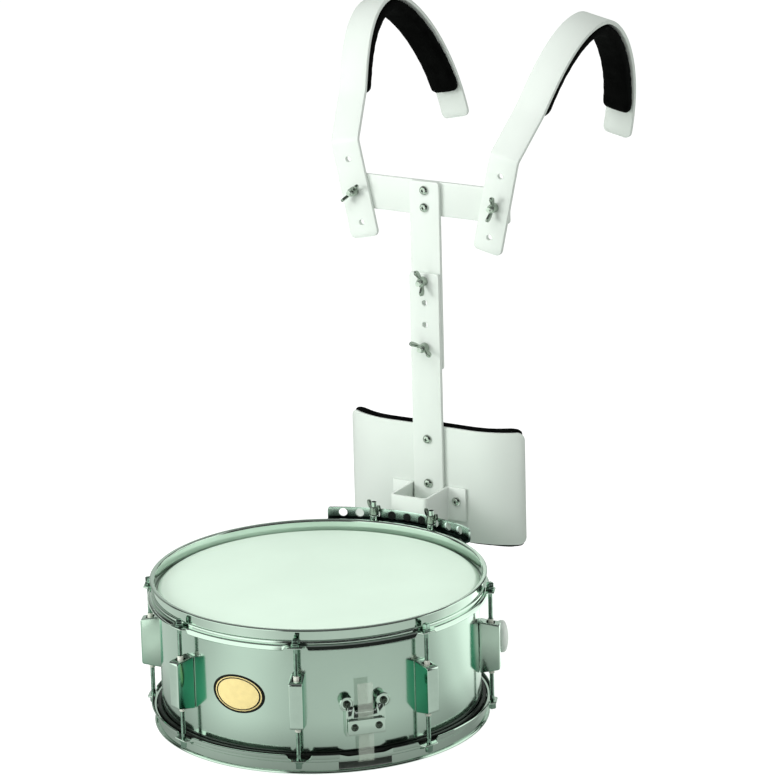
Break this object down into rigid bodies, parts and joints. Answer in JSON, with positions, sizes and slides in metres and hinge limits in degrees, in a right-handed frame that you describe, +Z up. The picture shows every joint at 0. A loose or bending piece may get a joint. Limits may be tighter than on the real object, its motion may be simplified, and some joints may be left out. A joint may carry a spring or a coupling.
{
  "type": "marching snare drum",
  "caption": "Marching snare drum with tensioned heads, snare throw-off and tone control, hung by hooks on a rigid shoulder carrier with a padded belly plate.",
  "frame": {"origin": "middle of the whole object's plan, on the surface that the snare-side hoop stands on", "axes": "+Z up along the drum's axis, -Y towards the front of the drum, +Y towards the wearer, +X to the right seen from the front"},
  "size_m": [0.3796, 0.725, 0.7236],
  "materials": {
    "shell_steel": "polished sheet steel",
    "chrome": "bright plating on steel and die castings",
    "drumhead": "smooth film with a soft sheen",
    "white_paint": "white powder coat on aluminium bar and sheet",
    "foam": "black closed-cell foam with a matt skin",
    "snare_tape": "clear plastic strip",
    "snare_wire": "bright coiled steel wire",
    "felt": "felt disc on a plated arm",
    "knob": "satin plated domed disc"
  },
  "bodies": {
    "drum": {"shell": "shell_steel", "batter_head": "drumhead", "snare_side_head": "drumhead", "batter_hoop": "chrome", "snare_side_hoop": "chrome", "lug_1": "chrome", "lug_2": "chrome", "lug_3": "chrome", "lug_4": "chrome", "lug_5": "chrome", "lug_6": "chrome", "lug_7": "chrome", "lug_8": "chrome", "butt_base": "chrome", "butt_tape": "snare_tape", "butt_clamp": "chrome", "strainer_base": "chrome", "tone_body": "chrome", "rail": "chrome", "bracket": "white_paint", "belly_plate": "white_paint", "belly_pad": "foam", "lower_upright": "white_paint"},
    "harness": {"upper_upright": "white_paint", "crossbar": "white_paint"},
    "left_strap": {"shoulder_strap_left": "white_paint", "shoulder_pad_left": "foam"},
    "right_strap": {"shoulder_strap_right": "white_paint", "shoulder_pad_right": "foam"},
    "strap_nut_left": {"strap_nut_left": "chrome"},
    "strap_nut_right": {"strap_nut_right": "chrome"},
    "height_nut_high": {"height_nut_high": "chrome"},
    "height_nut_low": {"height_nut_low": "chrome"},
    "hook_left": {"hook_rod_left": "chrome"},
    "hook_nut_left": {"hook_nut_left": "chrome"},
    "hook_right": {"hook_rod_right": "chrome"},
    "hook_nut_right": {"hook_nut_right": "chrome"},
    "strainer_lever": {"strainer_lever": "chrome"},
    "strainer_carriage": {"strainer_carriage": "chrome", "strainer_tape": "snare_tape"},
    "strainer_knob": {"strainer_knob": "chrome"},
    "snare_wires": {"snare_wires": "snare_wire"},
    "tone_knob": {"tone_knob": "knob"},
    "tone_arm": {"tone_arm": "felt"},
    "batter_rod_1": {"batter_rod_1": "chrome"},
    "snare_side_rod_1": {"snare_side_rod_1": "chrome"},
    "batter_rod_2": {"batter_rod_2": "chrome"},
    "snare_side_rod_2": {"snare_side_rod_2": "chrome"},
    "batter_rod_3": {"batter_rod_3": "chrome"},
    "snare_side_rod_3": {"snare_side_rod_3": "chrome"},
    "batter_rod_4": {"batter_rod_4": "chrome"},
    "snare_side_rod_4": {"snare_side_rod_4": "chrome"},
    "batter_rod_5": {"batter_rod_5": "chrome"},
    "snare_side_rod_5": {"snare_side_rod_5": "chrome"},
    "batter_rod_6": {"batter_rod_6": "chrome"},
    "snare_side_rod_6": {"snare_side_rod_6": "chrome"},
    "batter_rod_7": {"batter_rod_7": "chrome"},
    "snare_side_rod_7": {"snare_side_rod_7": "chrome"},
    "batter_rod_8": {"batter_rod_8": "chrome"},
    "snare_side_rod_8": {"snare_side_rod_8": "chrome"}
  },
  "joints": [
    {"name": "height_slide", "type": "slide", "parent": "drum", "child": "harness", "axis": [0, 0, 1], "range_m": [0, 0.052]},
    {"name": "left_strap_pivot", "type": "hinge", "parent": "harness", "child": "left_strap", "pos_m": [-0.09, 0.08655, 0.5287], "axis": [0, 1, 0], "range_deg": [-15, 15]},
    {"name": "right_strap_pivot", "type": "hinge", "parent": "harness", "child": "right_strap", "pos_m": [0.09, 0.08655, 0.5287], "axis": [0, 1, 0], "range_deg": [-15, 15]},
    {"name": "strap_nut_left_turn", "type": "hinge", "parent": "harness", "child": "strap_nut_left", "pos_m": [-0.09, 0.08655, 0.5287], "axis": [0, -1, 0], "continuous": true},
    {"name": "strap_nut_right_turn", "type": "hinge", "parent": "harness", "child": "strap_nut_right", "pos_m": [0.09, 0.08655, 0.5287], "axis": [0, -1, 0], "continuous": true},
    {"name": "height_nut_high_turn", "type": "hinge", "parent": "drum", "child": "height_nut_high", "pos_m": [0, 0.08125, 0.434], "axis": [0, -1, 0], "continuous": true},
    {"name": "height_nut_low_turn", "type": "hinge", "parent": "drum", "child": "height_nut_low", "pos_m": [0, 0.08125, 0.356], "axis": [0, -1, 0], "continuous": true},
    {"name": "hook_left_swing", "type": "hinge", "parent": "drum", "child": "hook_left", "pos_m": [-0.0373, 0.01916, 0.1688], "axis": [0, 0, 1], "range_deg": [-90, 90]},
    {"name": "hook_nut_left_turn", "type": "hinge", "parent": "drum", "child": "hook_nut_left", "pos_m": [-0.0373, 0.01916, 0.1688], "axis": [0, 0, 1], "continuous": true},
    {"name": "hook_right_swing", "type": "hinge", "parent": "drum", "child": "hook_right", "pos_m": [0.0373, 0.01916, 0.1688], "axis": [0, 0, 1], "range_deg": [-90, 90]},
    {"name": "hook_nut_right_turn", "type": "hinge", "parent": "drum", "child": "hook_nut_right", "pos_m": [0.0373, 0.01916, 0.1688], "axis": [0, 0, 1], "continuous": true},
    {"name": "strainer_lever_throw", "type": "hinge", "parent": "drum", "child": "strainer_lever", "pos_m": [-0.13089, -0.04186, 0.058], "axis": [-0.7071, -0.7071, 0], "range_deg": [0, 100]},
    {"name": "strainer_carriage_slide", "type": "slide", "parent": "drum", "child": "strainer_carriage", "axis": [0, 0, -1], "range_m": [0, 0.0041]},
    {"name": "strainer_knob_turn", "type": "hinge", "parent": "strainer_carriage", "child": "strainer_knob", "pos_m": [-0.13074, -0.04201, 0.092], "axis": [0, 0, 1], "continuous": true},
    {"name": "snare_wires_drop", "type": "hinge", "parent": "drum", "child": "snare_wires", "pos_m": [0.09192, -0.26467, 0.0109], "axis": [-0.7071, -0.7071, 0], "range_deg": [0, 1]},
    {"name": "tone_knob_turn", "type": "hinge", "parent": "drum", "child": "tone_knob", "pos_m": [0.16286, -0.07489, 0.083], "axis": [0.8572, 0.515, 0], "range_deg": [0, 180]},
    {"name": "tone_arm_lift", "type": "hinge", "parent": "drum", "child": "tone_arm", "pos_m": [0.13936, -0.08902, 0.093], "axis": [-0.515, 0.8572, 0], "range_deg": [0, 7.1]},
    {"name": "batter_rod_1_turn", "type": "hinge", "parent": "drum", "child": "batter_rod_1", "pos_m": [0.07281, -0.34852, 0.1485], "axis": [0, 0, 1], "continuous": true},
    {"name": "snare_side_rod_1_turn", "type": "hinge", "parent": "drum", "child": "snare_side_rod_1", "pos_m": [0.07281, -0.34852, 0.0166], "axis": [0, 0, 1], "continuous": true},
    {"name": "batter_rod_2_turn", "type": "hinge", "parent": "drum", "child": "batter_rod_2", "pos_m": [0.17577, -0.24556, 0.1485], "axis": [0, 0, 1], "continuous": true},
    {"name": "snare_side_rod_2_turn", "type": "hinge", "parent": "drum", "child": "snare_side_rod_2", "pos_m": [0.17577, -0.24556, 0.0166], "axis": [0, 0, 1], "continuous": true},
    {"name": "batter_rod_3_turn", "type": "hinge", "parent": "drum", "child": "batter_rod_3", "pos_m": [0.17577, -0.09994, 0.1485], "axis": [0, 0, 1], "continuous": true},
    {"name": "snare_side_rod_3_turn", "type": "hinge", "parent": "drum", "child": "snare_side_rod_3", "pos_m": [0.17577, -0.09994, 0.0166], "axis": [0, 0, 1], "continuous": true},
    {"name": "batter_rod_4_turn", "type": "hinge", "parent": "drum", "child": "batter_rod_4", "pos_m": [0.07281, 0.00302, 0.1485], "axis": [0, 0, 1], "continuous": true},
    {"name": "snare_side_rod_4_turn", "type": "hinge", "parent": "drum", "child": "snare_side_rod_4", "pos_m": [0.07281, 0.00302, 0.0166], "axis": [0, 0, 1], "continuous": true},
    {"name": "batter_rod_5_turn", "type": "hinge", "parent": "drum", "child": "batter_rod_5", "pos_m": [-0.07281, 0.00302, 0.1485], "axis": [0, 0, 1], "continuous": true},
    {"name": "snare_side_rod_5_turn", "type": "hinge", "parent": "drum", "child": "snare_side_rod_5", "pos_m": [-0.07281, 0.00302, 0.0166], "axis": [0, 0, 1], "continuous": true},
    {"name": "batter_rod_6_turn", "type": "hinge", "parent": "drum", "child": "batter_rod_6", "pos_m": [-0.17577, -0.09994, 0.1485], "axis": [0, 0, 1], "continuous": true},
    {"name": "snare_side_rod_6_turn", "type": "hinge", "parent": "drum", "child": "snare_side_rod_6", "pos_m": [-0.17577, -0.09994, 0.0166], "axis": [0, 0, 1], "continuous": true},
    {"name": "batter_rod_7_turn", "type": "hinge", "parent": "drum", "child": "batter_rod_7", "pos_m": [-0.17577, -0.24556, 0.1485], "axis": [0, 0, 1], "continuous": true},
    {"name": "snare_side_rod_7_turn", "type": "hinge", "parent": "drum", "child": "snare_side_rod_7", "pos_m": [-0.17577, -0.24556, 0.0166], "axis": [0, 0, 1], "continuous": true},
    {"name": "batter_rod_8_turn", "type": "hinge", "parent": "drum", "child": "batter_rod_8", "pos_m": [-0.07281, -0.34852, 0.1485], "axis": [0, 0, 1], "continuous": true},
    {"name": "snare_side_rod_8_turn", "type": "hinge", "parent": "drum", "child": "snare_side_rod_8", "pos_m": [-0.07281, -0.34852, 0.0166], "axis": [0, 0, 1], "continuous": true}
  ],
  "couplings": [
    {"joint": "strainer_carriage_slide", "follows": "strainer_lever_throw", "m_per_rad": 0.0022918},
    {"joint": "snare_wires_drop", "follows": "strainer_lever_throw", "ratio": 0.0091},
    {"joint": "tone_arm_lift", "follows": "tone_knob_turn", "ratio": 0.038889}
  ]
}
